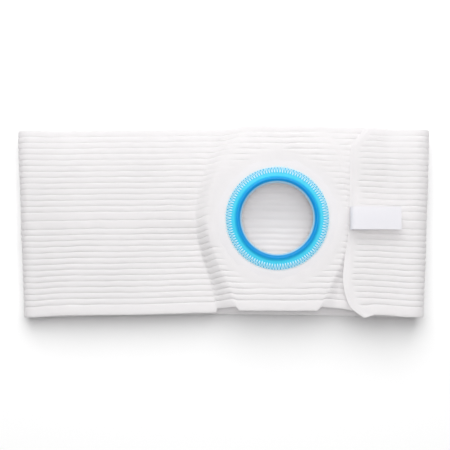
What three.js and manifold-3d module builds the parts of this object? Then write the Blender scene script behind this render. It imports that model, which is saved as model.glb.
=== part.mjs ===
// A wide elastic support belt for wear over a stoma, closed and lying flat on its back.
// One ribbed elastic band runs as a loop: from its hidden end under the closure, along the front
// with the pouch opening, round the left fold, along the back, round the right fold, and over its
// own start as a flap. A smooth facing and a blue plastic ring border the opening, a hook patch
// holds the flap down, and a short tape on the flap's end is pulled to open it.
// Millimetres. +X runs along the belt, +Y to its upper edge, +Z up from the table.
import * as THREE from 'three';
import { mergeVertices } from 'three/addons/utils/BufferGeometryUtils.js';
import Module from 'manifold-3d';

// Elastic band
const bandWidth = 178;
const bandWall = 1.3; // in the grooves between the ribs
const ribRise = 0.45; // above the groove, on each face
const ribPitch = 5.58;
const centreRibWidth = 8.2; // two wider ribs run along the middle
const topHem = 6.4;
const bottomHem = 9.9;

// The closed loop as it lies
const loopLength = 384; // from fold to fold, in the band's middle surface
const loopTaper = 0.02; // share by which the upper edge is longer, and the lower edge shorter
const leftFoldHeight = 23.4; // outside, table to top
const rightFoldHeight = 30.4;
const frontBow = 1.5; // how far the front's middle line rises between the folds
const backBow = 3.3;
const frontNarrowing = 0.017; // share of its width that the band loses between the folds

// The raised panel round the opening
const ringX = 50.6; // the opening's centre, from the middle of the loop
const ringBelowCentre = 1;
const panelHeight = 32.6; // table to the rib crowns
const panelMargin = 6.5; // from the facing to the panel's ridge
const panelShift = 3.5; // the stiff panel pulls the band up by this
const slopeRun = 12;
const valleyDepth = 1.4; // in front of the slope, in the lower half
const valleyRun = 16;
const upperLift = 2.6; // how far the panel lifts the band beside it, in the upper half
const upperLiftRun = 55;
const hemDroop = 1.5;
const footNotch = 5.5; // how far the lower hem jumps up at the foot of the left slope
const ridgeNotch = 3.7; // and at its ridge
const jumpRun = 2; // over which it jumps up
const notchRun = 3.5; // over which it falls back beyond the ridge
const rightNotch = 4; // how far it is drawn up on the right slope
const underShiftTop = 2.2; // how far the band under the flap is drawn up, at its upper edge
const underShiftLow = 3.4; // and at its lower edge
const cornerSink = 3;

// Pouch opening: a smooth facing and a plastic ring
const openingRadius = 33.4; // 2 5/8 in across
const ringLipWall = 1.8;
const ringFlangeRadius = 47.5;
const ringFlangeEdge = 0.7;
const ringFlangeRoot = 1.3;
const ringCrownRadius = 37.6;
const ringCrownHeight = 4.2;
const ringCrownFlat = 1.2;
const ringLipBelow = 0.8; // below the band's inner face
const facingRadius = 60.4;
const facingThickness = 1.2;
const facingEdge = 0.35;
const facingTaper = 8;
const ringSides = 60;

// Closure
const flapGap = 2.4; // from the panel's right ridge to the flap's edge
const flapStep = 1.7; // from the panel up to the flap
const hiddenEndGap = 24.5; // from the band's hidden end to the right fold
const hookThickness = 1.2;
const hookWidth = 122;
const hookInset = 2.5;
const flapBulge = 5; // how far the flap's edge swells towards the ring near its lower corner
const flapBow = 1.8;
const cornerHang = 3.2; // how far the flap's lower corner hangs below its hem

// Pull tab: a stiff tape folded back over the flap
const tabWidth = 21.3;
const tabThickness = 1.3;
const tabY = 3.4; // above the belt's middle
const tabReach = 48;
const tabRoot = 12; // stitched down on the flap
const tabRiseAtFold = 10; // its fold, above the flap
const tabRiseAtTip = 7;

const seatGap = 0.35; // between pieces that lie on each other

const colours = { elastic: 0xf0eeee, facing: 0xf1f0f2, ring: 0x0a9cec, hook: 0xe9e8e6, tab: 0xf2f1f4 };

const halfWidth = bandWidth / 2;
const halfLength = loopLength / 2;
const thickness = bandWall + 2 * ribRise;
const backLevel = thickness / 2;
const leftFoldRadius = (leftFoldHeight - thickness) / 2;
const rightFoldRadius = (rightFoldHeight - thickness) / 2;
const leftFoldStart = halfLength - leftFoldRadius;
const rightFoldStart = halfLength - rightFoldRadius;
const panelLevel = panelHeight - thickness / 2;
const panelHalf = facingRadius + panelMargin;
const closureStep = thickness + hookThickness + 2 * seatGap;
const flapEndX = ringX + panelHalf * 0.97 + flapGap;
const flapEndLevel = panelLevel + flapStep;
const underEndX = rightFoldStart - hiddenEndGap;

const clamp01 = (u) => Math.min(1, Math.max(0, u));
const mix = (a, b, u) => a + (b - a) * u;
const smooth = (u) => clamp01(u) ** 2 * (3 - 2 * clamp01(u));

// The panel's outline: where its ridge lies from the ring's centre, as a share of panelHalf, and how
// wide the slope outside it is, as a share of slopeRun, at shares of the half width up the band.
const panelOutline = [
  { at: -1, leftRidge: 0.577, leftSlope: 1.58, rightRidge: 0.61, rightSlope: 1.5 },
  { at: -0.76, leftRidge: 0.665, leftSlope: 1.38, rightRidge: 0.74, rightSlope: 0.87 },
  { at: -0.44, leftRidge: 0.85, leftSlope: 1.05, rightRidge: 0.915, rightSlope: 0.34 },
  { at: -0.1, leftRidge: 0.96, leftSlope: 1.04, rightRidge: 0.965, rightSlope: 0.34 },
  { at: 0.2, leftRidge: 0.93, leftSlope: 1.25, rightRidge: 0.955, rightSlope: 0.36 },
  { at: 0.5, leftRidge: 0.78, leftSlope: 1.6, rightRidge: 0.87, rightSlope: 0.5 },
  { at: 0.75, leftRidge: 0.6, leftSlope: 2.1, rightRidge: 0.745, rightSlope: 0.82 },
  { at: 1, leftRidge: 0.3, leftSlope: 2.7, rightRidge: 0.47, rightSlope: 1.25 },
];

// The flap's end: how far it stands back from its straight edge, as a share of flapBulge, at shares of
// the half width. Both corners are cut, and the edge swells above the lower one.
const flapOutline = [
  { at: -1, back: 3.2 },
  { at: -0.92, back: 0.8 },
  { at: -0.86, back: -0.04 },
  { at: -0.74, back: -0.72 },
  { at: -0.6, back: -1 },
  { at: -0.4, back: -0.7 },
  { at: -0.15, back: -0.1 },
  { at: 0.2, back: 0 },
  { at: 0.8, back: 0.06 },
  { at: 0.86, back: 0.7 },
  { at: 1, back: 2.6 },
];

// A column of a table at a share of the half width, on a smooth curve through the table's rows.
function valueAt(rows, column, at) {
  const last = rows.length - 1;
  let k = 0;
  while (k < last - 1 && at > rows[k + 1].at) k += 1;
  const slopeAt = (i) => {
    const before = rows[Math.max(0, i - 1)];
    const after = rows[Math.min(last, i + 1)];
    return (after[column] - before[column]) / (after.at - before.at);
  };
  const step = rows[k + 1].at - rows[k].at;
  const u = clamp01((at - rows[k].at) / step);
  const h = u * u * (3 - 2 * u);
  const bend = u * (1 - u) * step;
  const straight = mix(rows[k][column], rows[k + 1][column], h);
  return straight + bend * ((1 - u) * slopeAt(k) - u * slopeAt(k + 1));
}

const leftRidge = (t) => ringX - panelHalf * valueAt(panelOutline, 'leftRidge', t / halfWidth);
const leftFoot = (t) => leftRidge(t) - slopeRun * valueAt(panelOutline, 'leftSlope', t / halfWidth);
const rightRidge = (t) => ringX + panelHalf * valueAt(panelOutline, 'rightRidge', t / halfWidth);
const rightFoot = (t) => rightRidge(t) + slopeRun * valueAt(panelOutline, 'rightSlope', t / halfWidth);

// 1 on the panel, 0 outside its slopes: rounder towards the upper edge.
function panelShare(x, t) {
  const left = (x - leftFoot(t)) / (leftRidge(t) - leftFoot(t));
  const right = (rightFoot(t) - x) / (rightFoot(t) - rightRidge(t));
  const u = clamp01(Math.min(left, right));
  return mix(u, smooth(u), 0.5 + 0.5 * smooth((t / halfWidth + 0.3) / 0.5));
}

// The flap's middle surface falls evenly from its end to the right fold.
function flapLevel(x) {
  const u = clamp01((x - flapEndX) / (rightFoldStart - flapEndX));
  return mix(flapEndLevel, backLevel + 2 * rightFoldRadius, u);
}

const widthShare = (x) => 1 - frontNarrowing * smooth((halfLength - Math.abs(x)) / 40);
const bowAt = (x) => 1 - (x / halfLength) ** 2;
const taperedX = (x, t) => x * (1 + (loopTaper * t) / halfWidth);

// How far the lower rows are drawn up on the panel's slopes.
function hemShift(x, t) {
  const share = t / halfWidth;
  const ridge = leftRidge(t);
  const foot = leftFoot(t);
  const onLeft = smooth((x - foot) / jumpRun) * (1 - smooth((x - ridge) / notchRun));
  const left = onLeft * mix(footNotch, ridgeNotch, clamp01((x - foot) / (ridge - foot)));
  const beyondFoot = Math.max(0, x - rightFoot(t));
  const right = rightNotch * smooth((x - rightRidge(t) + 2) / 4) * Math.exp(-((beyondFoot / 12) ** 2));
  const atHem = 0.5 * smooth((-share - 0.5) / 0.5) + 0.5 * smooth((-share - 0.88) / 0.12);
  return (left + right) * atHem;
}

// Middle surface of the band: its front, back, flap and two folds.
function frontPoint(x, t) {
  const share = t / halfWidth;
  const panel = panelShare(x, t);
  const low = smooth((-share - 0.2) / 0.8);
  const upper = smooth((share + 0.25) / 0.3);
  const beforeFoot = Math.max(0, leftFoot(t) - x);
  const valley = valleyDepth * (1 - upper) * Math.exp(-((beforeFoot / valleyRun) ** 2));
  const lift = upperLift * upper * Math.exp(-((beforeFoot / upperLiftRun) ** 2));
  const leftLevel = backLevel + 2 * leftFoldRadius - valley + lift;
  const sink = cornerSink * low * (1 - smooth((x - flapEndX) / 25));
  const toRight = smooth((x - ringX + panelHalf / 2) / panelHalf);
  const outside = mix(leftLevel, flapLevel(x) - closureStep - sink, toRight);
  const droop = hemDroop * smooth((Math.abs(share) - 0.72) / 0.28);
  const underShift = mix(underShiftLow, underShiftTop, (share + 1) / 2) * toRight;
  const shift = mix(underShift, panelShift, panel) + hemShift(x, t);
  const y = t * widthShare(x) + frontBow * bowAt(x) + shift;
  return new THREE.Vector3(taperedX(x, t), y, mix(outside, panelLevel - droop, panel));
}

function backPoint(x, t) {
  return new THREE.Vector3(taperedX(x, t), t + backBow * bowAt(x), backLevel);
}

function flapPoint(x, t) {
  const toEnd = (rightFoldStart - x) / (rightFoldStart - flapEndX);
  const atCorner = smooth((-t / halfWidth - 0.8) / 0.2) * smooth((toEnd - 0.55) / 0.2);
  const y = t * widthShare(x) + flapBow * smooth(toEnd) - cornerHang * atCorner;
  return new THREE.Vector3(taperedX(x, t), y, flapLevel(x));
}

// A fold turns from the layer at its top, at turn 0, to the back layer, at turn 1.
function foldPoint(side, radius, turn, t, topLayer) {
  const start = side * (halfLength - radius);
  const angle = Math.PI * turn;
  const y = mix(topLayer(start, t).y, backPoint(start, t).y, turn);
  const z = backLevel + radius * (1 + Math.cos(angle));
  return new THREE.Vector3(taperedX(start + side * radius * Math.sin(angle), t), y, z);
}
const leftFoldPoint = (turn, t) => foldPoint(-1, leftFoldRadius, turn, t, frontPoint);
const rightFoldPoint = (turn, t) => foldPoint(1, rightFoldRadius, 1 - turn, t, flapPoint);

const flapEnd = (t) => flapEndX + flapBulge * valueAt(flapOutline, 'back', t / halfWidth);

// Stations along the band: each names a surface, a direction of travel along it, and its place there.
function bandStations() {
  const stations = [];
  const add = (surface, direction, place) => stations.push({ surface, direction, place });
  const panelSteps = 5;
  const leftSteps = 3;
  const foldSteps = 6;
  const backSteps = 3;
  const flapSteps = 3;
  const leftFlatEnd = (t) => leftFoot(t) - valleyRun;
  add(frontPoint, -1, () => underEndX);
  add(frontPoint, -1, (t) => mix(underEndX, rightFoot(t), 0.7));
  add(frontPoint, -1, rightFoot);
  for (let k = 0; k <= panelSteps; k += 1) {
    add(frontPoint, -1, (t) => mix(rightRidge(t), leftRidge(t) + notchRun, k / panelSteps));
  }
  add(frontPoint, -1, leftRidge);
  add(frontPoint, -1, (t) => mix(leftRidge(t), leftFoot(t), 0.5));
  add(frontPoint, -1, (t) => leftFoot(t) + jumpRun);
  add(frontPoint, -1, leftFoot);
  for (let k = 0; k < leftSteps; k += 1) {
    add(frontPoint, -1, (t) => mix(leftFlatEnd(t), -leftFoldStart, k / leftSteps));
  }
  for (let k = 0; k <= foldSteps; k += 1) add(leftFoldPoint, 1, () => k / foldSteps);
  for (let k = 1; k < backSteps; k += 1) {
    add(backPoint, 1, () => mix(-leftFoldStart, rightFoldStart, k / backSteps));
  }
  for (let k = 0; k <= foldSteps; k += 1) add(rightFoldPoint, 1, () => k / foldSteps);
  for (let k = 1; k <= flapSteps; k += 1) {
    add(flapPoint, -1, (t) => mix(rightFoldStart, flapEnd(t), k / flapSteps));
  }
  return stations;
}

// Lines across the band, from its lower edge to its upper one, with the half thickness at each.
function bandRows() {
  const groove = bandWall / 2;
  const crown = thickness / 2;
  const edge = crown * 0.75;
  const round = 0.9;
  const ribField = bandWidth - topHem - bottomHem - 2 * centreRibWidth;
  const ribsEachSide = Math.max(1, Math.round(ribField / 2 / ribPitch));
  const pitch = ribField / 2 / ribsEachSide;
  const widths = [
    ...Array(ribsEachSide).fill(pitch),
    centreRibWidth,
    centreRibWidth,
    ...Array(ribsEachSide).fill(pitch),
  ];
  const rows = [
    { t: -halfWidth, half: edge },
    { t: -halfWidth + round, half: crown },
    { t: -halfWidth + bottomHem - round, half: crown },
  ];
  let t = -halfWidth + bottomHem;
  rows.push({ t, half: groove });
  for (const width of widths) {
    const isWide = width > pitch * 1.2;
    const crowns = isWide ? [0.25, 0.75] : [0.5];
    for (const share of crowns) rows.push({ t: t + width * share, half: crown });
    t += width;
    rows.push({ t, half: groove });
  }
  rows.push({ t: halfWidth - topHem + round, half: crown });
  rows.push({ t: halfWidth - round, half: crown });
  rows.push({ t: halfWidth, half: edge });
  return rows;
}

// Unit normal of a surface on its outer side, for travel in the given direction.
function outerNormal(surface, direction, place, t) {
  const step = 0.01;
  const along = surface(place + step, t).sub(surface(place - step, t)).multiplyScalar(direction);
  const across = surface(place, t + step).sub(surface(place, t - step));
  return across.cross(along).normalize();
}

// A closed solid between two grids of points, outer and inner, indexed [station][row].
function gridSolid(outer, inner) {
  const stations = outer.length;
  const rows = outer[0].length;
  const positions = [];
  for (const grid of [outer, inner]) {
    for (const line of grid) for (const p of line) positions.push(p.x, p.y, p.z);
  }
  const o = (i, j) => i * rows + j;
  const n = (i, j) => stations * rows + i * rows + j;
  const index = [];
  const quad = (a, b, c, d) => index.push(a, b, c, a, c, d);
  for (let i = 0; i < stations - 1; i += 1) {
    for (let j = 0; j < rows - 1; j += 1) {
      quad(o(i, j), o(i, j + 1), o(i + 1, j + 1), o(i + 1, j));
      quad(n(i, j), n(i + 1, j), n(i + 1, j + 1), n(i, j + 1));
    }
    quad(o(i, 0), o(i + 1, 0), n(i + 1, 0), n(i, 0));
    quad(o(i, rows - 1), n(i, rows - 1), n(i + 1, rows - 1), o(i + 1, rows - 1));
  }
  const end = stations - 1;
  for (let j = 0; j < rows - 1; j += 1) {
    quad(o(0, j), n(0, j), n(0, j + 1), o(0, j + 1));
    quad(o(end, j), o(end, j + 1), n(end, j + 1), n(end, j));
  }
  const geometry = new THREE.BufferGeometry();
  geometry.setAttribute('position', new THREE.Float32BufferAttribute(positions, 3));
  geometry.setIndex(index);
  return geometry;
}

// The whole band, before its opening is cut.
function bandGeometry() {
  const rows = bandRows();
  const outer = [];
  const inner = [];
  for (const { surface, direction, place } of bandStations()) {
    const above = [];
    const below = [];
    for (const { t, half } of rows) {
      const at = place(t);
      const point = surface(at, t);
      const normal = outerNormal(surface, direction, at, t);
      above.push(point.clone().addScaledVector(normal, half));
      below.push(point.clone().addScaledVector(normal, -half));
    }
    outer.push(above);
    inner.push(below);
  }
  return gridSolid(outer, inner);
}

const wasm = await Module();
wasm.setup();

function toManifold(geometry) {
  const bare = geometry.clone();
  bare.deleteAttribute('normal');
  bare.deleteAttribute('uv');
  const merged = mergeVertices(bare, 1e-4);
  return new wasm.Manifold(new wasm.Mesh({
    numProp: 3,
    vertProperties: new Float32Array(merged.attributes.position.array),
    triVerts: new Uint32Array(merged.index.array),
  }));
}

function fromManifold(solid) {
  const mesh = solid.getMesh();
  const geometry = new THREE.BufferGeometry();
  geometry.setAttribute('position', new THREE.BufferAttribute(mesh.vertProperties, 3));
  geometry.setIndex(new THREE.BufferAttribute(mesh.triVerts, 1));
  return geometry;
}

// A body of revolution about +Z from a closed outline of [radius, height] corners.
function revolved(outline, sides) {
  const points = [...outline, outline[0]].map(([r, z]) => new THREE.Vector2(r, z));
  return new THREE.LatheGeometry(points, sides).rotateX(Math.PI / 2);
}

const openingCentre = frontPoint(ringX, -ringBelowCentre);
const lipRadius = openingRadius + ringLipWall;
const openingCut = lipRadius + seatGap;
const facingBase = thickness / 2 + seatGap; // above the panel's middle surface
const facingTop = facingBase + facingThickness;
const ringBase = facingTop + seatGap;

function elasticBand() {
  const cutter = new THREE.CylinderGeometry(openingCut, openingCut, panelHeight / 2, ringSides)
    .rotateX(Math.PI / 2)
    .translate(openingCentre.x, openingCentre.y, openingCentre.z);
  return fromManifold(toManifold(bandGeometry()).subtract(toManifold(cutter)));
}

// A smooth annular cloth round the opening, thinned to its outer edge.
function openingFacing() {
  return revolved([
    [openingCut, facingBase],
    [facingRadius, facingBase],
    [facingRadius, facingBase + facingEdge],
    [facingRadius - facingTaper, facingTop],
    [openingCut, facingTop],
  ], ringSides);
}

// The plastic ring: a flat flange, a raised crown, and a lip down through the opening.
function openingRing() {
  const lipBottom = -thickness / 2 - ringLipBelow;
  const crown = ringBase + ringCrownHeight;
  const flangeRootRadius = mix(ringCrownRadius, ringFlangeRadius, 0.3);
  return revolved([
    [openingRadius, lipBottom],
    [lipRadius, lipBottom],
    [lipRadius, ringBase],
    [ringFlangeRadius, ringBase],
    [ringFlangeRadius, ringBase + ringFlangeEdge],
    [flangeRootRadius, ringBase + ringFlangeRoot],
    [mix(ringCrownRadius, flangeRootRadius, 0.55), ringBase + ringCrownHeight * 0.75],
    [ringCrownRadius + ringCrownFlat / 2, crown],
    [ringCrownRadius - ringCrownFlat / 2, crown],
    [mix(openingRadius, ringCrownRadius, 0.5), ringBase + ringCrownHeight * 0.72],
    [openingRadius, ringBase],
  ], ringSides);
}

// The hook patch under the flap, set in from the ends of both layers.
function hookPatch() {
  const rowCount = 9;
  const stationCount = 4;
  const topGap = thickness / 2 + seatGap;
  const outer = [];
  const inner = [];
  for (let i = 0; i < stationCount; i += 1) {
    const above = [];
    const below = [];
    for (let j = 0; j < rowCount; j += 1) {
      const t = mix(-hookWidth / 2, hookWidth / 2, j / (rowCount - 1));
      const x = mix(underEndX - hookInset, flapEndX + hookInset, i / (stationCount - 1));
      const point = flapPoint(x, t);
      const normal = outerNormal(flapPoint, -1, x, t);
      above.push(point.clone().addScaledVector(normal, -topGap));
      below.push(point.clone().addScaledVector(normal, -topGap - hookThickness));
    }
    outer.push(above);
    inner.push(below);
  }
  return gridSolid(outer, inner);
}

// The pull tab's side outline, extruded across its width: a root on the flap, a bend, a free leg.
function pullTab() {
  const topOfFlap = (x) => flapLevel(x) + thickness / 2 + seatGap;
  const half = tabThickness / 2;
  const bendX = flapEndX + tabRiseAtFold / 2;
  const bendRadius = (tabRiseAtFold - half) / 2;
  const rootLevel = (x) => topOfFlap(x) + half;
  const bendLevel = rootLevel(bendX) + bendRadius;
  const middle = [];
  const slopeAngle = Math.atan2(rootLevel(bendX + tabRoot) - rootLevel(bendX), tabRoot);
  const bendSteps = 10;
  middle.push(new THREE.Vector2(bendX + tabRoot, rootLevel(bendX + tabRoot)));
  for (let k = 0; k <= bendSteps; k += 1) {
    const angle = -Math.PI / 2 + slopeAngle - (Math.PI * k) / bendSteps;
    middle.push(new THREE.Vector2(
      bendX + bendRadius * Math.cos(angle),
      bendLevel + bendRadius * Math.sin(angle),
    ));
  }
  const tipX = flapEndX + tabReach;
  const tipLevel = topOfFlap(tipX) + tabRiseAtTip;
  const legSteps = 4;
  const legStart = middle[middle.length - 1];
  for (let k = 1; k <= legSteps; k += 1) {
    const u = k / legSteps;
    const sag = 0.8 * Math.sin(Math.PI * u);
    middle.push(new THREE.Vector2(mix(legStart.x, tipX, u), mix(legStart.y, tipLevel, u) + sag));
  }
  const sides = [[], []];
  middle.forEach((point, k) => {
    const before = middle[Math.max(0, k - 1)];
    const after = middle[Math.min(middle.length - 1, k + 1)];
    const along = after.clone().sub(before).normalize();
    const normal = new THREE.Vector2(-along.y, along.x);
    sides[0].push(point.clone().addScaledVector(normal, half));
    sides[1].push(point.clone().addScaledVector(normal, -half));
  });
  const shape = new THREE.Shape([...sides[0], ...sides[1].reverse()]);
  return new THREE.ExtrudeGeometry(shape, { depth: tabWidth, bevelEnabled: false })
    .rotateX(Math.PI / 2)
    .translate(0, tabY + tabWidth / 2, 0);
}

function named(name, geometry, colour, roughness) {
  const material = new THREE.MeshStandardMaterial({ color: colour, roughness, metalness: 0 });
  const mesh = new THREE.Mesh(geometry, material);
  mesh.name = name;
  return mesh;
}

const belt = new THREE.Group();
belt.add(named('elastic_band', elasticBand(), colours.elastic, 0.9));
belt.add(named('hook_patch', hookPatch(), colours.hook, 0.95));
belt.add(named('pull_tab', pullTab(), colours.tab, 0.7));

const opening = new THREE.Group();
opening.position.copy(openingCentre);
opening.add(named('opening_facing', openingFacing(), colours.facing, 0.85));
opening.add(named('opening_ring', openingRing(), colours.ring, 0.35));
belt.add(opening);

// The origin is under the middle of the belt's outline, on the table.
const extent = new THREE.Box3().setFromObject(belt);
const middle = extent.getCenter(new THREE.Vector3());
belt.position.set(-middle.x, -middle.y, -extent.min.z);

const model = new THREE.Group();
model.add(belt);
export default model;
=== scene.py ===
# A ribbed elastic support belt with a blue plastic pouch opening, closed and lying flat on a pale table.
# Metres, in the frame of the CAD model: +X along the belt, +Y to its upper edge, +Z up from the table.
import math

import bpy
import numpy as np
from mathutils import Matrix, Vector


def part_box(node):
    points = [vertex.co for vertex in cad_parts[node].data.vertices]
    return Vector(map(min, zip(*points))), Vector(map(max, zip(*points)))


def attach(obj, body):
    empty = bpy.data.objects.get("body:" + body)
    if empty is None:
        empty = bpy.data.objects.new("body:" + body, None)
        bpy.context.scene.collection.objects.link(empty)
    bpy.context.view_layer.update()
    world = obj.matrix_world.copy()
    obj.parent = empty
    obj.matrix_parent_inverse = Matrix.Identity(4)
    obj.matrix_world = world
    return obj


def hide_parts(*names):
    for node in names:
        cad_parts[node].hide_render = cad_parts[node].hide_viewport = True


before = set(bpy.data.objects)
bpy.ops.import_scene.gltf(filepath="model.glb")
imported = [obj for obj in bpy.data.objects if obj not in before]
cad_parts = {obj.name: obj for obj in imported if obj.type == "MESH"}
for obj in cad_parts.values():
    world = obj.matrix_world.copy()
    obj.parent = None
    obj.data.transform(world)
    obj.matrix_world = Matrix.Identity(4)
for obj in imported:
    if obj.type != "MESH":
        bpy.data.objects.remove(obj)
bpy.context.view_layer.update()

TAU = 2 * math.pi
rng = np.random.default_rng(7)

# Elastic band
BAND_WIDTH = 0.178
BAND_WALL = 0.0006  # in the grooves between the ribs
RIB_RISE = 0.00085  # above the groove, on each face
RIB_PITCH = 0.00558
CENTRE_RIB_WIDTH = 0.0082
TOP_HEM = 0.0064
BOTTOM_HEM = 0.0099
RIB_ROUNDNESS = 3.0  # higher is a flatter crown with a narrower groove
RIB_WANDER = 0.00022  # how far a rib strays from its line
CLOTH_LIFT = 0.0003  # height of the cloth's slow waves
CALM_HEIGHT = 0.75  # height of the smooth cloth, as a share of a rib's
HEM_RIB_SHARE = 0.9  # height of a hem, as a share of a rib's
LEAST_HALF = 0.0002  # least half thickness of the cloth
SEEN_RIB_RISE = 1.2  # added to the ribs that show through the opening, as a share of their height

# The closed loop as it lies
LOOP_LENGTH = 0.384
LOOP_TAPER = 0.02
LEFT_FOLD_HEIGHT = 0.0234
RIGHT_FOLD_HEIGHT = 0.0304
FRONT_BOW = 0.0015
BACK_BOW = 0.0033
FRONT_NARROWING = 0.0165
EDGE_FALL = 0.0022  # how far the front sinks towards the left fold, and as much again low down
EDGE_FALL_RUN = 0.045
HEM_RISE = 0.0016  # how far the panel draws up the lower hem beside it
HEM_RISE_RUN = 0.09

# Raised panel
PANEL_HEIGHT = 0.0326
PANEL_CORE = 0.0604  # half of its length without the margin
PANEL_MARGIN = 0.0065
PANEL_SHIFT = 0.0035
RING_BELOW_CENTRE = 0.001
SLOPE_RUN = 0.012
VALLEY_DEPTH = 0.0014
VALLEY_RUN = 0.016
UPPER_LIFT = 0.0026
UPPER_LIFT_RUN = 0.055
HEM_DROOP = 0.0015
FOOT_NOTCH = 0.0055  # how far the lower hem jumps up at the foot of the left slope
RIDGE_NOTCH = 0.0037  # and at its ridge
NOTCH_RUN = 0.0035
RIGHT_NOTCH = 0.004
UNDER_SHIFT_TOP = 0.0022  # how far the band under the flap is drawn up
UNDER_SHIFT_LOW = 0.0034
CORNER_SINK = 0.0045
UNDER_RISE = 0.0012

# Opening
OPENING_RADIUS = 0.0334
RING_LIP_WALL = 0.0018
RING_FLANGE_RADIUS = 0.0482
FLANGE_ROOT_RADIUS = 0.0398
FLANGE_RIM_RISE = 0.0005
FLANGE_ROOT_RISE = 0.0019
CROWN_RADIUS = 0.0374
CROWN_RISE = 0.0041
FACING_RADIUS = 0.0612
FACING_RISE = 0.0003
FACING_RIM_SINK = 0.0006  # its outer edge dips below the cloth
FACING_TAPER = 0.011
RING_STEPS = 180

# Closure
FLAP_GAP = 0.0024
FLAP_STEP = 0.0017
HIDDEN_END_GAP = 0.0245
HOOK_THICKNESS = 0.0012
SEAT_GAP = 0.00035
FLAP_BULGE = 0.005
FLAP_BOW = 0.0018
CORNER_HANG = 0.0032
FLAP_MARGIN = 0.0095  # smooth, without ribs
FLAP_DROOP = 0.0014
TAB_WALL = 0.0011
TAB_BEND = 0.0047
TAB_SHORT_LEG = 0.012

HALF_WIDTH = BAND_WIDTH / 2
HALF_LENGTH = LOOP_LENGTH / 2
CAD_THICKNESS = 0.0022
BACK_LEVEL = CAD_THICKNESS / 2
LEFT_RADIUS = (LEFT_FOLD_HEIGHT - CAD_THICKNESS) / 2
RIGHT_RADIUS = (RIGHT_FOLD_HEIGHT - CAD_THICKNESS) / 2
LEFT_START = HALF_LENGTH - LEFT_RADIUS
RIGHT_START = HALF_LENGTH - RIGHT_RADIUS
PANEL_LEVEL = PANEL_HEIGHT - CAD_THICKNESS / 2
PANEL_HALF = PANEL_CORE + PANEL_MARGIN
CLOSURE_STEP = CAD_THICKNESS + HOOK_THICKNESS + 2 * SEAT_GAP

# Places read from the frame: the ring's centre, and the line of the band's middle.
ring_low, ring_high = (Vector(corner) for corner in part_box("opening_ring"))
RING_X = (ring_low.x + ring_high.x) / 2
RING_Y = (ring_low.y + ring_high.y) / 2
RING_BASE = PANEL_LEVEL + CAD_THICKNESS / 2
FLAP_END_X = RING_X + PANEL_HALF * 0.97 + FLAP_GAP
UNDER_END_X = RIGHT_START - HIDDEN_END_GAP
FLAP_END_LEVEL = PANEL_LEVEL + FLAP_STEP


def mix(a, b, u):
    return a + (b - a) * u


def smooth(u):
    u = np.clip(u, 0, 1)
    return u * u * (3 - 2 * u)


def bow_at(x):
    return 1 - (x / HALF_LENGTH) ** 2


def width_share(x):
    return 1 - FRONT_NARROWING * smooth((HALF_LENGTH - np.abs(x)) / 0.04)


MIDDLE_Y = RING_Y - PANEL_SHIFT + RING_BELOW_CENTRE * width_share(RING_X) - FRONT_BOW * bow_at(RING_X)

# The panel's ridge from the ring's centre as a share of PANEL_HALF, and the slope outside it as a share
# of SLOPE_RUN, at shares of the half width up the band.
PANEL_OUTLINE = [
    {"at": -1.0, "left_ridge": 0.577, "left_slope": 1.58, "right_ridge": 0.61, "right_slope": 1.5},
    {"at": -0.76, "left_ridge": 0.665, "left_slope": 1.38, "right_ridge": 0.74, "right_slope": 0.87},
    {"at": -0.44, "left_ridge": 0.85, "left_slope": 1.05, "right_ridge": 0.915, "right_slope": 0.34},
    {"at": -0.1, "left_ridge": 0.96, "left_slope": 1.04, "right_ridge": 0.965, "right_slope": 0.34},
    {"at": 0.2, "left_ridge": 0.93, "left_slope": 1.25, "right_ridge": 0.955, "right_slope": 0.36},
    {"at": 0.5, "left_ridge": 0.78, "left_slope": 1.6, "right_ridge": 0.87, "right_slope": 0.5},
    {"at": 0.75, "left_ridge": 0.6, "left_slope": 2.1, "right_ridge": 0.745, "right_slope": 0.82},
    {"at": 1.0, "left_ridge": 0.3, "left_slope": 2.7, "right_ridge": 0.47, "right_slope": 1.25},
]

# How far the flap's edge stands back from its straight part, as a share of FLAP_BULGE.
FLAP_OUTLINE = [
    {"at": -1.0, "back": 3.2},
    {"at": -0.92, "back": 0.8},
    {"at": -0.86, "back": -0.04},
    {"at": -0.74, "back": -0.72},
    {"at": -0.6, "back": -1.0},
    {"at": -0.4, "back": -0.7},
    {"at": -0.15, "back": -0.1},
    {"at": 0.2, "back": 0.0},
    {"at": 0.8, "back": 0.06},
    {"at": 0.86, "back": 0.7},
    {"at": 1.0, "back": 2.6},
]


def on_curve(rows, column, at):
    """A column of a table on a smooth curve through its rows."""
    xs = np.array([row["at"] for row in rows])
    ys = np.array([row[column] for row in rows])
    slopes = np.empty_like(ys)
    slopes[1:-1] = (ys[2:] - ys[:-2]) / (xs[2:] - xs[:-2])
    slopes[0] = (ys[1] - ys[0]) / (xs[1] - xs[0])
    slopes[-1] = (ys[-1] - ys[-2]) / (xs[-1] - xs[-2])
    at = np.clip(at, xs[0], xs[-1])
    k = np.clip(np.searchsorted(xs, at) - 1, 0, len(xs) - 2)
    step = xs[k + 1] - xs[k]
    u = (at - xs[k]) / step
    bend = u * (1 - u) * step
    h = u * u * (3 - 2 * u)
    return mix(ys[k], ys[k + 1], h) + bend * ((1 - u) * slopes[k] - u * slopes[k + 1])


def left_ridge(t):
    return RING_X - PANEL_HALF * on_curve(PANEL_OUTLINE, "left_ridge", t / HALF_WIDTH)


def left_foot(t):
    return left_ridge(t) - SLOPE_RUN * on_curve(PANEL_OUTLINE, "left_slope", t / HALF_WIDTH)


def right_ridge(t):
    return RING_X + PANEL_HALF * on_curve(PANEL_OUTLINE, "right_ridge", t / HALF_WIDTH)


def right_foot(t):
    return right_ridge(t) + SLOPE_RUN * on_curve(PANEL_OUTLINE, "right_slope", t / HALF_WIDTH)


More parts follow.
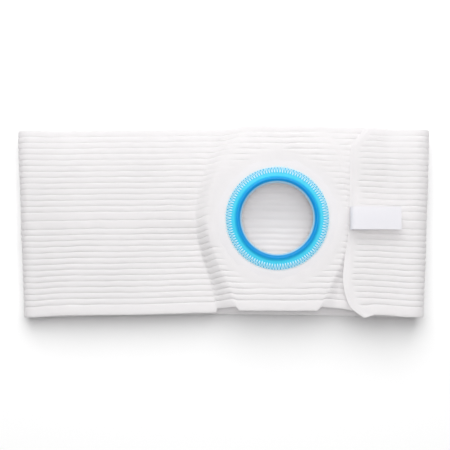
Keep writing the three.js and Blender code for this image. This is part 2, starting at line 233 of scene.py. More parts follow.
def panel_share(x, t):
    """1 on the panel, 0 outside its slopes: rounder towards the upper edge."""
    left = (x - left_foot(t)) / (left_ridge(t) - left_foot(t))
    right = (right_foot(t) - x) / (right_foot(t) - right_ridge(t))
    u = np.clip(np.minimum(left, right), 0, 1)
    return mix(u, smooth(u), 0.5 + 0.5 * smooth((t / HALF_WIDTH + 0.3) / 0.5))


def flap_level(x):
    u = np.clip((x - FLAP_END_X) / (RIGHT_START - FLAP_END_X), 0, 1)
    return mix(FLAP_END_LEVEL, BACK_LEVEL + 2 * RIGHT_RADIUS, u)


def waves(count, shortest, longest, seed):
    """Smooth noise from a few sine waves: returns a function of place along and across the band."""
    draw = np.random.default_rng(seed)
    lengths = np.exp(draw.uniform(math.log(shortest), math.log(longest), count))
    phases = draw.uniform(0, TAU, count)
    tilts = draw.uniform(-1, 1, count)
    weights = np.sqrt(lengths / lengths.sum())

    def noise(along, across):
        total = 0
        for length, phase, tilt, weight in zip(lengths, phases, tilts, weights):
            total = total + weight * np.sin(TAU * (along + tilt * across) / length + phase)
        return total

    return noise


rib_wander = waves(7, 0.022, 0.12, 11)
rib_swell = waves(8, 0.012, 0.07, 12)
rib_fingers = waves(9, 0.02, 0.12, 14)
cloth_lift = waves(5, 0.05, 0.16, 13)


def tapered(x, t):
    return x * (1 + LOOP_TAPER * t / HALF_WIDTH)


def left_fall(x, t):
    """How far the front's left part sinks towards the fold."""
    near_fold = 1 - smooth((x + HALF_LENGTH) / EDGE_FALL_RUN)
    return EDGE_FALL * near_fold * (1 + smooth((-t / HALF_WIDTH + 0.1) / 0.8))


def hem_shift(x, t):
    """How far the lower rows are drawn up on the slopes, as gathers."""
    share = t / HALF_WIDTH
    at_hem = 0.5 * smooth((-share - 0.5) / 0.5) + 0.5 * smooth((-share - 0.88) / 0.12)
    left = np.clip((x - left_foot(t)) / (left_ridge(t) - left_foot(t)), 0, 1)
    on_left = smooth((x - left_foot(t)) / 0.002) * (1 - smooth((x - left_ridge(t)) / NOTCH_RUN))
    right = np.clip((right_foot(t) - x) / (right_foot(t) - right_ridge(t)), 0, 1)
    beyond = np.maximum(0, x - right_foot(t)) / 0.012
    on_right = smooth((x - right_ridge(t) + 0.002) / 0.004) * np.exp(-(beyond ** 2))
    rise = on_left * mix(FOOT_NOTCH, RIDGE_NOTCH, left) + on_right * RIGHT_NOTCH * mix(0.7, 1.0, right)
    before_foot = np.clip((x - left_foot(t)) / HEM_RISE_RUN + 1, 0, 1)
    beside = HEM_RISE * smooth((-share + 0.2) / 1.2) * smooth(before_foot) * (x < left_foot(t) + 0.002)
    return rise * at_hem + beside


def front_point(x, t):
    share = t / HALF_WIDTH
    panel = panel_share(x, t)
    low = smooth((-share - 0.2) / 0.8)
    upper = smooth((share + 0.25) / 0.3)
    before_foot = np.maximum(0, left_foot(t) - x)
    valley = VALLEY_DEPTH * (1 - upper) * np.exp(-((before_foot / VALLEY_RUN) ** 2))
    lift = UPPER_LIFT * upper * np.exp(-((before_foot / UPPER_LIFT_RUN) ** 2))
    left_level = BACK_LEVEL + 2 * LEFT_RADIUS - valley + lift - left_fall(x, t)
    sink = CORNER_SINK * low * (1 - smooth((x - FLAP_END_X) / 0.025))
    to_right = smooth((x - RING_X + PANEL_HALF / 2) / PANEL_HALF)
    flush = smooth((share + 0.55) / 0.3)
    rise = UNDER_RISE * flush * (1 - smooth((x - flap_end(t)) / 0.0025))
    outside = mix(left_level, flap_level(x) - CLOSURE_STEP - sink + rise, to_right)
    droop = HEM_DROOP * smooth((np.abs(share) - 0.72) / 0.28)
    under_shift = mix(UNDER_SHIFT_LOW, UNDER_SHIFT_TOP, (share + 1) / 2) * to_right
    shift = mix(under_shift, PANEL_SHIFT, panel)
    y = t * width_share(x) + FRONT_BOW * bow_at(x) + shift + hem_shift(x, t)
    z = mix(outside, PANEL_LEVEL - droop, panel)
    return np.stack([tapered(x, t), MIDDLE_Y + y, z], axis=-1)


def back_point(x, t):
    level = np.full_like(x + t, BACK_LEVEL)
    return np.stack([tapered(x, t), MIDDLE_Y + t + BACK_BOW * bow_at(x), level], axis=-1)


def flap_point(x, t):
    to_end = (RIGHT_START - x) / (RIGHT_START - FLAP_END_X)
    at_corner = smooth((-t / HALF_WIDTH - 0.8) / 0.2) * smooth((to_end - 0.55) / 0.2)
    y = t * width_share(x) + FLAP_BOW * smooth(to_end) - CORNER_HANG * at_corner
    flush = smooth((t / HALF_WIDTH + 0.55) / 0.3)
    droop = FLAP_DROOP * flush * (1 - smooth((x - flap_end(t)) / 0.006))
    return np.stack([tapered(x, t), MIDDLE_Y + y, flap_level(x) - droop], axis=-1)


def fold_point(side, radius, turn, t, top_layer):
    start = side * (HALF_LENGTH - radius)
    at = np.full_like(turn + t, start)
    y = mix(top_layer(at, t)[..., 1], back_point(at, t)[..., 1], turn)
    x = tapered(start + side * radius * np.sin(math.pi * turn), t)
    fall = left_fall(at, t) if side < 0 else 0
    z = BACK_LEVEL + (radius - fall / 2) * (1 + np.cos(math.pi * turn)) + 0 * t
    return np.stack([x, y, z], axis=-1)


def flap_end(t):
    return FLAP_END_X + FLAP_BULGE * on_curve(FLAP_OUTLINE, "back", t / HALF_WIDTH)


def steps_between(start, stop, count, include_stop=False):
    """Lines of places between two lines, as shares from 0 to 1."""
    shares = np.linspace(0, 1, count + 1)
    if not include_stop:
        shares = shares[:-1]
    return [mix(start, stop, share) for share in shares]


def band_rows():
    """Lines across the band: place, height share of the rib there, and 1 on a hem."""
    profile = [0.0, 0.055, 0.14, 0.28, 0.5, 0.72, 0.86, 0.945]
    wide_profile = [0.0, 0.04, 0.1, 0.2, 0.36, 0.5, 0.64, 0.8, 0.9, 0.96]
    field = BAND_WIDTH - TOP_HEM - BOTTOM_HEM - 2 * CENTRE_RIB_WIDTH
    each_side = max(1, round(field / 2 / RIB_PITCH))
    pitch = field / 2 / each_side
    widths = [pitch] * each_side + [CENTRE_RIB_WIDTH] * 2 + [pitch] * each_side
    rows = []

    def add_rib(start, width, shares, kind):
        for share in shares:
            height = 1 - abs(2 * share - 1) ** (RIB_ROUNDNESS * width / RIB_PITCH)
            rows.append((start + share * width, height, kind))

    hem_profile = [0.0, 0.05, 0.15, 0.35, 0.6, 0.8, 0.92]
    add_rib(-HALF_WIDTH, BOTTOM_HEM, hem_profile, 1)
    t = -HALF_WIDTH + BOTTOM_HEM
    for width in widths:
        add_rib(t, width, wide_profile if width > 1.2 * pitch else profile, 0)
        t += width
    add_rib(t, TOP_HEM, hem_profile + [1.0], 1)
    return tuple(np.array(column, dtype=float) for column in zip(*rows))


def band_stations(t):
    """Middle surface of the band, one line of points for each station, from its hidden end to its flap."""
    line = np.zeros_like(t)
    left_flat = left_foot(t) - VALLEY_RUN
    front = (
        steps_between(line + UNDER_END_X, right_foot(t), 10)
        + steps_between(right_foot(t), right_ridge(t), 8)
        + steps_between(right_ridge(t), left_ridge(t), 48)
        + steps_between(left_ridge(t), left_foot(t), 14)
        + steps_between(left_foot(t), left_flat, 10)
        + steps_between(left_flat, line - LEFT_START, 44)
    )
    folds = np.linspace(0, 1, 19)
    back = steps_between(line - LEFT_START, line + RIGHT_START, 36)[1:]
    flap = steps_between(line + RIGHT_START, flap_end(t) + FLAP_MARGIN, 24)[1:]
    flap += steps_between(flap_end(t) + FLAP_MARGIN, flap_end(t), 14, include_stop=True)
    lines = [front_point(x, t) for x in front]
    lines += [fold_point(-1, LEFT_RADIUS, line + turn, t, front_point) for turn in folds]
    lines += [back_point(x, t) for x in back]
    lines += [fold_point(1, RIGHT_RADIUS, line + 1 - turn, t, flap_point) for turn in folds]
    lines += [flap_point(x, t) for x in flap]
    part = ["front"] * len(front) + ["fold"] * len(folds) + ["back"] * len(back)
    part += ["fold"] * len(folds) + ["flap"] * len(flap)
    return np.array(lines), np.array(part)


def rib_strength(x, t, part):
    """How far the ribs stand up: 1 as knitted, less in stretched cloth, and more where it gathers."""
    share = t / HALF_WIDTH
    front = (part == "front")[:, None]
    flap = (part == "flap")[:, None]
    upper = smooth((share + 0.05) / 0.35)
    by_ridge = np.exp(-(((x - left_ridge(t) + 0.001) / 0.011) ** 2))
    corner = np.exp(-(((x - right_ridge(t) - 0.004) / 0.012) ** 2)) * smooth((share - 0.35) / 0.3)
    top_left = np.exp(-(((x - left_foot(t) + 0.06) / 0.09) ** 2)) * smooth((share - 0.45) / 0.4)
    smoothed = 0.85 * by_ridge * upper + 0.9 * corner + 0.2 * top_left
    on_flap = 0.55 * np.exp(-(((x - 0.166) / 0.018) ** 2)) * smooth((share - 0.6) / 0.25)
    calmed = 1 - np.clip(np.where(front, smoothed, np.where(flap, on_flap, 0)), 0, 0.95)
    left_middle = (left_foot(t) + 2 * left_ridge(t)) / 3
    gathered = 0.3 * np.exp(-(((x - left_middle) / 0.012) ** 2)) * smooth((-share - 0.05) / 0.4)
    panel_top = 0.45 * panel_share(x, t) * smooth((share - 0.55) / 0.2)
    left_low = 0.45 * (1 - smooth((x + 0.14) / 0.06)) * smooth((-share - 0.1) / 0.4)
    return calmed * (1 - 0.14 * share) + np.where(front, gathered + panel_top + left_low, 0)


def surface_normals(points):
    along = np.gradient(points, axis=0)
    across = np.gradient(points, axis=1)
    normals = np.cross(across, along)
    return normals / np.linalg.norm(normals, axis=-1, keepdims=True)


def new_object(name, mesh, material, smooth_shading=True):
    piece = bpy.data.objects.new(name, mesh)
    bpy.context.scene.collection.objects.link(piece)
    mesh.materials.clear()
    mesh.materials.append(material)
    if smooth_shading:
        mesh.polygons.foreach_set("use_smooth", [True] * len(mesh.polygons))
    return piece


def mesh_from(name, vertices, faces, uvs=None):
    mesh = bpy.data.meshes.new(name)
    mesh.from_pydata([tuple(v) for v in vertices], [], faces)
    if uvs is not None:
        layer = mesh.uv_layers.new(name="cloth")
        loops = np.empty(len(mesh.loops), dtype=np.int32)
        mesh.loops.foreach_get("vertex_index", loops)
        layer.data.foreach_set("uv", np.asarray(uvs)[loops].ravel())
    mesh.validate()
    mesh.update()
    return mesh


def rib_relief(middle, along, across, height, on_hem, part, under_facing):
    """How far the cloth's surface stands above its grooves."""
    from_end = along[-1:] - along
    margin = FLAP_MARGIN * (1 + 0.12 * rib_fingers(across * 3, along))
    on_margin = 1 - smooth((from_end - margin + 0.0015) / 0.003)
    at_end = np.where((part == "flap")[:, None], on_margin, 0)
    calm = np.clip(np.maximum(under_facing, at_end), 0, 1)
    swell = 1 + 0.22 * rib_swell(along, across)
    rise = RIB_RISE * np.where(on_hem > 0, HEM_RIB_SHARE, 1.0) * np.clip(swell, 0.4, 1.5)
    relief = rise * mix(height, CALM_HEIGHT, calm)
    return mix(0.7 * rise, relief, rib_strength(middle[..., 0], across, part))


def cloth_faces(stations, rows, keep):
    """Faces of a closed sheet: its outer side, its inner side with the kept rows alone, and its edges."""
    outer = np.arange(stations * rows).reshape(stations, rows)
    inner = outer.size + np.arange(stations * len(keep)).reshape(stations, len(keep))

    def quads(a, b, c, d):
        return np.stack([a.ravel(), b.ravel(), c.ravel(), d.ravel()], axis=-1).tolist()

    faces = quads(outer[:-1, :-1], outer[:-1, 1:], outer[1:, 1:], outer[1:, :-1])
    faces += quads(inner[:-1, :-1], inner[1:, :-1], inner[1:, 1:], inner[:-1, 1:])
    faces += quads(outer[:-1, 0], outer[1:, 0], inner[1:, 0], inner[:-1, 0])
    faces += quads(outer[:-1, -1], inner[:-1, -1], inner[1:, -1], outer[1:, -1])
    for j in range(len(keep) - 1):
        between = list(range(keep[j], keep[j + 1] + 1))
        first = [outer[0, k] for k in reversed(between)]
        last = [outer[-1, k] for k in between]
        faces.append([int(v) for v in [inner[0, j], inner[0, j + 1]] + first])
        faces.append([int(v) for v in [inner[-1, j + 1], inner[-1, j]] + last])
    return faces


def elastic_band(material):
    t, height, on_hem = band_rows()
    middle, part = band_stations(t)
    stations, rows = middle.shape[:2]
    along = np.zeros((stations, rows))
    along[1:] = np.cumsum(np.linalg.norm(np.diff(middle, axis=0), axis=-1), axis=0)
    across = np.broadcast_to(t, along.shape)
    on_table = (part == "back")[:, None]
    edge_calm = smooth((HALF_WIDTH - np.abs(across)) / 0.012)
    middle[..., 1] += RIB_WANDER * rib_wander(along, across) * (0.3 + 0.7 * edge_calm)
    normals = surface_normals(middle)

    from_ring = np.hypot(middle[..., 0] - RING_X, middle[..., 1] - RING_Y)
    front_up = (part == "front")[:, None] & (normals[..., 2] > 0.2)
    fingers = 0.0022 * rib_fingers(along, across * 6) + 0.001 * rib_swell(along, across)
    calm_radius = FACING_RADIUS + 0.0012 + fingers
    under_facing = np.where(front_up, 1 - smooth((from_ring - calm_radius) / 0.006), 0)
    relief = rib_relief(middle, along, across, height, on_hem, part, under_facing)

    loose = ~on_table * smooth((from_ring - FACING_RADIUS - 0.003) / 0.02)
    lift = CLOTH_LIFT * cloth_lift(along, across) * np.where(front_up, loose, ~on_table)
    from_end = along[-1:] - along
    thin = np.where((part == "flap")[:, None], 1 - smooth(from_end / 0.004), 0)
    half = np.maximum(BAND_WALL / 2 + relief, LEAST_HALF) * mix(1.0, 0.4, thin)
    seen = on_table * (1 - smooth((from_ring - 0.042) / 0.02))
    inner_half = half + SEEN_RIB_RISE * relief * seen
    keep = np.arange(0, rows, 2)
    if keep[-1] != rows - 1:
        keep = np.append(keep, rows - 1)
    outer = middle + normals * (half + lift)[..., None]
    inner = (middle - normals * (inner_half - lift)[..., None])[:, keep]

    vertices = np.concatenate([outer.reshape(-1, 3), inner.reshape(-1, 3)])
    vertices[:, 2] = np.maximum(vertices[:, 2], 0)
    on_cloth = np.stack([along, across], axis=-1)
    uvs = np.concatenate([on_cloth.reshape(-1, 2), on_cloth[:, keep].reshape(-1, 2)])
    mesh = mesh_from("elastic_band_cloth", vertices, cloth_faces(stations, rows, keep), uvs)
    band = new_object("elastic_band_cloth", mesh, material)
    cut_opening(band)
    return band


def cut_opening(band):
    radius = OPENING_RADIUS + RING_LIP_WALL + SEAT_GAP
    bpy.ops.mesh.primitive_cylinder_add(
        vertices=RING_STEPS, radius=radius, depth=0.02, location=(RING_X, RING_Y, PANEL_LEVEL)
    )
    cutter = bpy.context.object
    modifier = band.modifiers.new("opening", "BOOLEAN")
    modifier.operation = "DIFFERENCE"
    modifier.solver = "MANIFOLD"
    modifier.object = cutter
    bpy.context.view_layer.objects.active = band
    bpy.ops.object.modifier_apply(modifier=modifier.name)
    bpy.data.objects.remove(cutter)
    mesh = band.data
    mesh.polygons.foreach_set("use_smooth", [True] * len(mesh.polygons))
    mesh.set_sharp_from_angle(angle=math.radians(60))


def revolved(name, outline, steps, wobble=None):
    """A closed ring with the given outline of (radius, height), about the opening's centre."""
    angles = np.arange(steps) / steps * TAU
    vertices = []
    for angle in angles:
        out, up = wobble(angle) if wobble else (0, 0)
        for radius, z in outline:
            r = radius + out
            vertices.append((RING_X + r * math.cos(angle), RING_Y + r * math.sin(angle), z + up))
    count = len(outline)
    faces = []
    for i in range(steps):
        for j in range(count):
            a, b = i * count + j, ((i + 1) % steps) * count + j
            c, d = ((i + 1) % steps) * count + (j + 1) % count, i * count + (j + 1) % count
            faces.append((a, b, c, d))
    return mesh_from(name, vertices, faces)


def rounded_outline(corners, per_corner=4):
    """Rounds the corners of a closed outline given as (radius, height, rounding)."""
    points = []
    count = len(corners)
    for k, (r, z, size) in enumerate(corners):
        here = np.array([r, z])
        before = np.array(corners[k - 1][:2]) - here
        after = np.array(corners[(k + 1) % count][:2]) - here
        if size <= 0:
            points.append((r, z))
            continue
        start = here + before / np.linalg.norm(before) * size
        end = here + after / np.linalg.norm(after) * size
        for u in np.linspace(0, 1, per_corner):
            p = (1 - u) ** 2 * start + 2 * u * (1 - u) * here + u * u * end
            points.append(tuple(p))
    return points


def opening_ring(material):
    base = RING_BASE + FACING_RISE
    lip = OPENING_RADIUS + RING_LIP_WALL
    lip_end = PANEL_LEVEL - 0.0019
    along_flange = []
    for radius in (0.0474, 0.0444, 0.0414):
        u = (RING_FLANGE_RADIUS - radius) / (RING_FLANGE_RADIUS - FLANGE_ROOT_RADIUS)
        along_flange.append((radius, base + mix(FLANGE_RIM_RISE, FLANGE_ROOT_RISE, u), 0.0))
    corners = [
        (OPENING_RADIUS + 0.0002, lip_end, 0.0005),
        (lip, lip_end, 0.0005),
        (lip, base, 0.0),
        (RING_FLANGE_RADIUS, base - 0.0001, 0.0),
        (RING_FLANGE_RADIUS, base + FLANGE_RIM_RISE, 0.0003),
        *along_flange,
        (FLANGE_ROOT_RADIUS, base + FLANGE_ROOT_RISE, 0.0010),
        (CROWN_RADIUS + 0.0012, base + CROWN_RISE - 0.0008, 0.0006),
        (CROWN_RADIUS, base + CROWN_RISE, 0.0007),
        (CROWN_RADIUS - 0.0014, base + CROWN_RISE - 0.0006, 0.0008),
        (OPENING_RADIUS, base + 0.0004, 0.0008),
    ]
    outline = rounded_outline(corners)

    def wobble(angle):
        out = 0.00012 * math.sin(3 * angle + 0.6) + 0.00008 * math.sin(7 * angle)
        return out, 0.0001 * math.sin(2 * angle + 1.1)

    mesh = revolved("opening_ring_moulding", outline, RING_STEPS, wobble)
    return new_object("opening_ring_moulding", mesh, material)


def opening_facing(material):
    """The smooth cloth round the opening, thinned to its outer edge."""
    top = RING_BASE + FACING_RISE
    rim = RING_BASE - FACING_RIM_SINK
    inner = OPENING_RADIUS + RING_LIP_WALL + SEAT_GAP
    outline = [(inner, RING_BASE - 0.0007), (FACING_RADIUS, RING_BASE - 0.0007)]
    for u in np.linspace(0, 1, 9):
        outline.append((FACING_RADIUS - FACING_TAPER * u, mix(rim, top, float(smooth(u)))))
    outline += [(0.0488, top), (inner, top - 0.0001)]

    def wobble(angle):
        puckers = 0.00005 * math.sin(112 * angle) + 0.0005 * math.sin(2 * angle + 0.7)
        return puckers, 0.0

    mesh = revolved("opening_facing_cloth", outline, 2 * RING_STEPS, wobble)
    lay_on_panel(mesh)
    return new_object("opening_facing_cloth", mesh, material)


def lay_on_panel(mesh):
    """Lets a mesh follow the panel's cloth down where that falls away to its slopes and hems."""
    places = np.empty(len(mesh.vertices) * 3)
    mesh.vertices.foreach_get("co", places)
    places = places.reshape(-1, 3)
    x = places[:, 0]
    t = places[:, 1] - MIDDLE_Y
    for _ in range(3):
        t = t + places[:, 1] - front_point(x, t)[:, 1]
    fall = PANEL_LEVEL - front_point(x, t)[:, 2]
    outside = smooth((np.hypot(x - RING_X, places[:, 1] - RING_Y) - 0.05) / 0.004)
    places[:, 2] -= np.clip(fall, 0, 0.006) * outside
    mesh.vertices.foreach_set("co", places.ravel())
    mesh.update()


def tube(points, radius, sides=6, closed=False):
    """Vertices and faces of a thread along points."""
    points = np.asarray(points, dtype=float)
    count = len(points)
    if closed:
        tangents = np.roll(points, -1, axis=0) - np.roll(points, 1, axis=0)
    else:
        tangents = np.gradient(points, axis=0)
    tangents /= np.linalg.norm(tangents, axis=1, keepdims=True)
    side = np.cross(tangents, (0, 0, 1.0))
    side /= np.maximum(np.linalg.norm(side, axis=1, keepdims=True), 1e-9)
    up = np.cross(side, tangents)
    angles = np.arange(sides) / sides * TAU
    ring = (side[:, None] * np.cos(angles)[None, :, None] + up[:, None] * np.sin(angles)[None, :, None])
    vertices = (points[:, None] + ring * radius).reshape(-1, 3)
    faces = []
    last = count if closed else count - 1
    for i in range(last):
        for j in range(sides):
            a, b = i * sides + j, i * sides + (j + 1) % sides
            c, d = ((i + 1) % count) * sides + (j + 1) % sides, ((i + 1) % count) * sides + j
            faces.append((a, b, c, d))
    if not closed:
        faces.append(tuple(reversed(range(sides))))
        faces.append(tuple((count - 1) * sides + j for j in range(sides)))
    return vertices, faces


def ring_stitching(material):
    """Zigzag thread that sews the ring's flange to the facing."""
    stitches = 112
    inner_radius, outer_radius = 0.0430, 0.0492
    base = RING_BASE + FACING_RISE
    on_flange = base + 0.0019
    at_edge = base + 0.0008
    on_cloth = base + 0.0001
    points = []
    samples = 10
    for k in range(stitches):
        reach = 0.0004 * rng.uniform(-1, 1)
        root = 0.0003 * rng.uniform(-1, 1)
        lean = 0.12 * rng.uniform(-1, 1)
        for i in range(samples):
            u = i / samples
            swing = (0.5 - 0.5 * math.cos(TAU * u)) ** 0.85
            radius = mix(inner_radius + root, outer_radius + reach, swing)
            angle = (k + u + lean * swing) / stitches * TAU
            over = (radius - inner_radius) / (RING_FLANGE_RADIUS - inner_radius)
            beyond_edge = smooth((over - 1) / 0.18)
            level = mix(on_flange, at_edge, over) if over < 1 else mix(at_edge, on_cloth, beyond_edge)
            points.append((RING_X + radius * math.cos(angle), RING_Y + radius * math.sin(angle), level))
    vertices, faces = tube(points, 0.00032, closed=True)
    return new_object("ring_stitching", mesh_from("ring_stitching", vertices, faces), material)


def pull_tab(material):
    low, high = (Vector(corner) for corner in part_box("pull_tab"))
    centre_y = (low.y + high.y) / 2
    width = high.y - low.y
    bend_x = low.x + 0.0010 + TAB_BEND
    above_flap = CAD_THICKNESS / 2 + TAB_WALL / 2 + 0.0002
    middle = []
    for x in np.linspace(bend_x + TAB_SHORT_LEG, bend_x, 5):
        middle.append((x, flap_level(x) + above_flap))
    bend_z = middle[-1][1] + TAB_BEND
    for k in range(1, 13):
        angle = -math.pi / 2 - math.pi * k / 12
        middle.append((bend_x + TAB_BEND * math.cos(angle), bend_z + TAB_BEND * math.sin(angle)))
    leg_start = middle[-1]
    tip = (high.x - 0.0002, high.z - 0.0047)
    for k in range(1, 25):
        u = k / 24
        sag = 0.0009 * math.sin(math.pi * u)
        middle.append((mix(leg_start[0], tip[0], u), mix(leg_start[1], tip[1], u) + sag))
    middle = np.array(middle)
    tangent = np.gradient(middle, axis=0)
    tangent /= np.linalg.norm(tangent, axis=1, keepdims=True)
    normal = np.stack([-tangent[:, 1], tangent[:, 0]], axis=-1)
    section = rounded_outline([
        (-0.5, -0.5, 0.02), (0.5, -0.5, 0.02), (0.5, 0.5, 0.02), (-0.5, 0.5, 0.02),
    ])
    vertices = []
    for (x, z), n in zip(middle, normal):
        for across, through in section:
            out = through * TAB_WALL
            vertices.append((x + n[0] * out, centre_y + across * width, z + n[1] * out))
    count = len(section)
    faces = []
    for i in range(len(middle) - 1):
        for j in range(count):
            k = (j + 1) % count
            faces.append((i * count + j, (i + 1) * count + j, (i + 1) * count + k, i * count + k))
    faces.append(tuple(range(count)))
    faces.append(tuple(reversed([(len(middle) - 1) * count + j for j in range(count)])))
    mesh = mesh_from("pull_tab_tape", vertices, faces)
    piece = new_object("pull_tab_tape", mesh, material)
    mesh.set_sharp_from_angle(angle=math.radians(50))
    return piece


def principled(name, colour, roughness):
    material = bpy.data.materials.new(name)
    material.use_nodes = True
    tree = material.node_tree
    shader = tree.nodes["Principled BSDF"]
    shader.inputs["Base Color"].default_value = (*colour, 1)
    shader.inputs["Roughness"].default_value = roughness
    return material, tree, shader


def let_light_through(material, share, colour):
    """Mixes in a share of light that passes through the piece, tinted by a colour."""
    tree = material.node_tree
    shader = tree.nodes["Principled BSDF"]
    output = tree.nodes["Material Output"]
    through = tree.nodes.new("ShaderNodeBsdfTranslucent")
    through.inputs["Color"].default_value = (*colour, 1)
    both = tree.nodes.new("ShaderNodeMixShader")
    both.inputs["Fac"].default_value = share
    tree.links.new(shader.outputs["BSDF"], both.inputs[1])
    tree.links.new(through.outputs["BSDF"], both.inputs[2])
    tree.links.new(both.outputs["Shader"], output.inputs["Surface"])


def cloth_material(name, colour, knit, strength, through):
    """White cloth with fine knit loops and a faint mottle. Through is a share of light and its tint."""
    material, tree, shader = principled(name, colour, 0.92)
    nodes, links = tree.nodes, tree.links
    let_light_through(material, *through)
    shader.inputs["Sheen Weight"].default_value = 0.1
    shader.inputs["Sheen Roughness"].default_value = 0.6
    shader.inputs["Specular IOR Level"].default_value = 0.2
    where = nodes.new("ShaderNodeTexCoord")
    loops = nodes.new("ShaderNodeTexWave")
    loops.wave_type = "BANDS"
    loops.bands_direction = "X"
    loops.inputs["Scale"].default_value = 0.5 / knit
    loops.inputs["Distortion"].default_value = 2.0
    loops.inputs["Detail"].default_value = 2.0
    links.new(where.outputs["Object"], loops.inputs["Vector"])
    grain = nodes.new("ShaderNodeTexNoise")
    grain.inputs["Scale"].default_value = 900
    grain.inputs["Detail"].default_value = 4
    links.new(where.outputs["Object"], grain.inputs["Vector"])
    both = nodes.new("ShaderNodeMath")
    both.operation = "ADD"
    links.new(loops.outputs["Fac"], both.inputs[0])
    links.new(grain.outputs["Fac"], both.inputs[1])
    bump = nodes.new("ShaderNodeBump")
    bump.inputs["Strength"].default_value = strength
    bump.inputs["Distance"].default_value = 0.0003
    links.new(both.outputs[0], bump.inputs["Height"])
    links.new(bump.outputs["Normal"], shader.inputs["Normal"])
    mottle = nodes.new("ShaderNodeTexNoise")
    mottle.inputs["Scale"].default_value = 28
    mottle.inputs["Detail"].default_value = 3
    links.new(where.outputs["Object"], mottle.inputs["Vector"])
    tint = nodes.new("ShaderNodeMix")
    tint.data_type = "RGBA"
    tint.inputs["A"].default_value = (*(c * 0.965 for c in colour), 1)
    tint.inputs["B"].default_value = (*(min(1, c * 1.02) for c in colour), 1)
    links.new(mottle.outputs["Fac"], tint.inputs["Factor"])
    links.new(tint.outputs["Result"], shader.inputs["Base Color"])
    return material


def from_ring_axis(nodes, links, where):
    """A node socket with the distance from the ring's axis, in metres."""
    offset = nodes.new("ShaderNodeVectorMath")
    offset.operation = "SUBTRACT"
    offset.inputs[1].default_value = (RING_X, RING_Y, 0)
    links.new(where.outputs["Object"], offset.inputs[0])
    flat = nodes.new("ShaderNodeVectorMath")
    flat.operation = "MULTIPLY"
    flat.inputs[1].default_value = (1, 1, 0)
    links.new(offset.outputs["Vector"], flat.inputs[0])
    length = nodes.new("ShaderNodeVectorMath")
    length.operation = "LENGTH"
    links.new(flat.outputs["Vector"], length.inputs[0])
    return length.outputs["Value"]


def ring_plastic():
    """Blue soft plastic: deep in the thick bead, paler out along the thin flange, with a fine grain. The
    pale inner lip is a painted highlight, and the flange's darker outer edge is partly painted shade between
    the stitches.
    """
    material, tree, shader = principled("ring_plastic", (0.002, 0.34, 0.70), 0.28)
    nodes, links = tree.nodes, tree.links
    let_light_through(material, 0.25, (0.05, 0.62, 0.98))
    shader.inputs["Specular IOR Level"].default_value = 0.45
    where = nodes.new("ShaderNodeTexCoord")
    grain = nodes.new("ShaderNodeTexNoise")
    grain.inputs["Scale"].default_value = 260
    grain.inputs["Detail"].default_value = 3
    links.new(where.outputs["Object"], grain.inputs["Vector"])
    bump = nodes.new("ShaderNodeBump")
    bump.inputs["Strength"].default_value = 0.12
    bump.inputs["Distance"].default_value = 0.0002
    links.new(grain.outputs["Fac"], bump.inputs["Height"])
    links.new(bump.outputs["Normal"], shader.inputs["Normal"])
    out = nodes.new("ShaderNodeMapRange")
    out.inputs["From Min"].default_value = OPENING_RADIUS
    out.inputs["From Max"].default_value = RING_FLANGE_RADIUS
    links.new(from_ring_axis(nodes, links, where), out.inputs["Value"])
    ramp = nodes.new("ShaderNodeValToRGB")
    stops = ramp.color_ramp.elements
    # The stops up to 0.07 are pale: a painted highlight round the inner lip.
    stops[0].position, stops[0].color = 0.0, (0.62, 0.90, 1.0, 1)
    stops[1].position, stops[1].color = 1.0, (0.03, 0.58, 0.84, 1)
    for place, colour in (
        (0.07, (0.55, 0.88, 1.0, 1)),
        (0.13, (0.0, 0.38, 0.84, 1)),
        (0.24, (0.0, 0.32, 0.76, 1)),
        (0.32, (0.0, 0.44, 0.93, 1)),
        (0.42, (0.03, 0.66, 1.0, 1)),
        (0.50, (0.075, 0.78, 1.0, 1)),
        (0.66, (0.10, 0.78, 1.0, 1)),
        # Darker towards the flange's outer edge: needle holes, and painted shade between the stitches.
        (0.80, (0.03, 0.64, 0.90, 1)),
    ):
        stop = stops.new(place)
        stop.color = colour
    links.new(out.outputs["Result"], ramp.inputs["Fac"])
    mottle = nodes.new("ShaderNodeMix")
    mottle.data_type = "RGBA"
    mottle.blend_type = "MULTIPLY"
    mottle.inputs["Factor"].default_value = 0.12
    links.new(ramp.outputs["Color"], mottle.inputs["A"])
    links.new(grain.outputs["Fac"], mottle.inputs["B"])
    links.new(mottle.outputs["Result"], shader.inputs["Base Color"])
    return material


def thread_material():
    material, tree, shader = principled("stitch_thread", (0.45, 0.78, 0.92), 0.5)
    nodes, links = tree.nodes, tree.links
    shader.inputs["Sheen Weight"].default_value = 0.2
    where = nodes.new("ShaderNodeTexCoord")
    strands = nodes.new("ShaderNodeTexNoise")
    strands.inputs["Scale"].default_value = 500
    links.new(where.outputs["Object"], strands.inputs["Vector"])
    ramp = nodes.new("ShaderNodeValToRGB")
    ramp.color_ramp.elements[0].color = (0.46, 0.84, 0.97, 1)
    ramp.color_ramp.elements[1].color = (0.80, 0.96, 1.0, 1)
    links.new(strands.outputs["Fac"], ramp.inputs["Fac"])
    links.new(ramp.outputs["Color"], shader.inputs["Base Color"])
    return material


def floor_material():
    material, _, shader = principled("table_top", (0.96, 0.96, 0.96), 0.9)
    shader.inputs["Specular IOR Level"].default_value = 0.0
    return material


def place_camera():
    aim = Vector((0.0015, -0.0031, 0.020))
    elevation = math.radians(85.5)
    distance = 1.2
    frame_width = 0.4262
    data = bpy.data.cameras.new("photo_camera")
    data.sensor_width = 36
    data.lens = data.sensor_width * distance / frame_width
    camera = bpy.data.objects.new("photo_camera", data)
    bpy.context.scene.collection.objects.link(camera)
    offset = Vector((0, -math.cos(elevation), math.sin(elevation))) * distance
    camera.location = aim + offset
    camera.rotation_euler = (-offset).to_track_quat("-Z", "Y").to_euler()
    bpy.context.scene.camera = camera


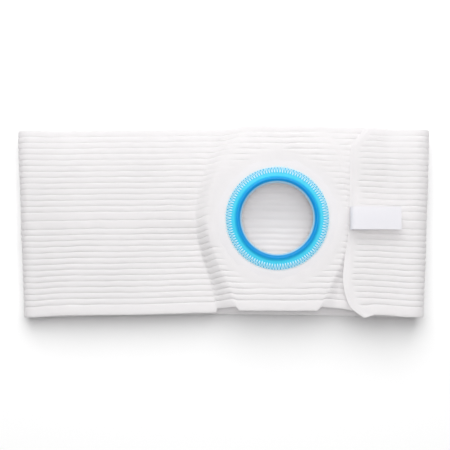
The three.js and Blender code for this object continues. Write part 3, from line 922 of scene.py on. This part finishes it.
def add_lamp(name, lit, azimuth, elevation, distance, size, energy):
    """A rectangular soft lamp that looks at the middle of the belt and lights the things in a collection."""
    aim = Vector((0, 0, 0.02))
    azimuth, elevation = math.radians(azimuth), math.radians(elevation)
    direction = Vector((
        math.cos(elevation) * math.cos(azimuth),
        math.cos(elevation) * math.sin(azimuth),
        math.sin(elevation),
    ))
    data = bpy.data.lights.new(name, "AREA")
    data.shape = "RECTANGLE"
    data.size, data.size_y = size
    data.energy = energy
    lamp = bpy.data.objects.new(name, data)
    bpy.context.scene.collection.objects.link(lamp)
    lamp.location = aim + direction * distance
    lamp.rotation_euler = (-direction).to_track_quat("-Z", "Y").to_euler()
    lamp.light_linking.receiver_collection = lit
    return lamp


def place_light(floor):
    """Soft lamps behind and above. The belt and the table have lamps of their own."""
    table_alone = bpy.data.collections.new("table_alone")
    table_alone.objects.link(floor)
    all_but_table = bpy.data.collections.new("all_but_table")
    all_but_table.objects.link(floor)
    all_but_table.collection_objects[0].light_linking.link_state = "EXCLUDE"
    for name, lit, azimuth, elevation, distance, size, energy in (
        ("window", all_but_table, 90, 43, 1.3, (1.5, 0.55), 8.2),
        ("skylight", all_but_table, 70, 76, 1.3, (0.85, 0.5), 4.2),
        ("overhead", all_but_table, -90, 86, 1.32, (0.3, 0.3), 6.8),
        ("table_window", table_alone, 90, 56, 1.6, (1.9, 2.1), 40.0),
    ):
        lamp = add_lamp(name, lit, azimuth, elevation, distance, size, energy)
        lamp.visible_glossy = name != "overhead"
    bpy.context.scene.cycles.diffuse_bounces = 8

    world = bpy.data.worlds.new("studio")
    world.use_nodes = True
    world.node_tree.nodes["Background"].inputs["Color"].default_value = (1.0, 1.0, 1.0, 1)
    world.node_tree.nodes["Background"].inputs["Strength"].default_value = 0.3
    bpy.context.scene.world = world
    bpy.context.scene.view_settings.view_transform = "Standard"
    bpy.context.scene.view_settings.look = "None"


def place_floor():
    bpy.ops.mesh.primitive_plane_add(size=6, location=(0, 0, -0.0002))
    floor = bpy.context.object
    floor.name = "table_top"
    floor.data.materials.append(floor_material())
    return floor


def dress(piece, node, body="root"):
    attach(piece, body)
    if node:
        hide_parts(node)


place_camera()
place_light(place_floor())

elastic = cloth_material(
    "elastic_knit", (0.935, 0.917, 0.92), knit=0.0013, strength=0.35, through=(0.34, (0.94, 0.94, 0.95))
)
facing_cloth = cloth_material(
    "facing_weave", (0.93, 0.915, 0.93), knit=0.0008, strength=0.12, through=(0.34, (0.94, 0.94, 0.95))
)
tab_tape = cloth_material(
    "tab_tape", (0.9, 0.925, 1.0), knit=0.0008, strength=0.12, through=(0.4, (0.95, 0.89, 0.84))
)
hook_tape = cloth_material(
    "hook_tape", (0.85, 0.84, 0.83), knit=0.0016, strength=0.9, through=(0.3, (0.9, 0.9, 0.9))
)

band = elastic_band(elastic)
dress(band, "elastic_band")

facing = opening_facing(facing_cloth)
dress(facing, "opening_facing")

ring = opening_ring(ring_plastic())
dress(ring, "opening_ring")

thread = ring_stitching(thread_material())
dress(thread, None)

tab = pull_tab(tab_tape)
dress(tab, "pull_tab")

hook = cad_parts["hook_patch"]
for material_slot in hook.material_slots:
    material_slot.material = hook_tape
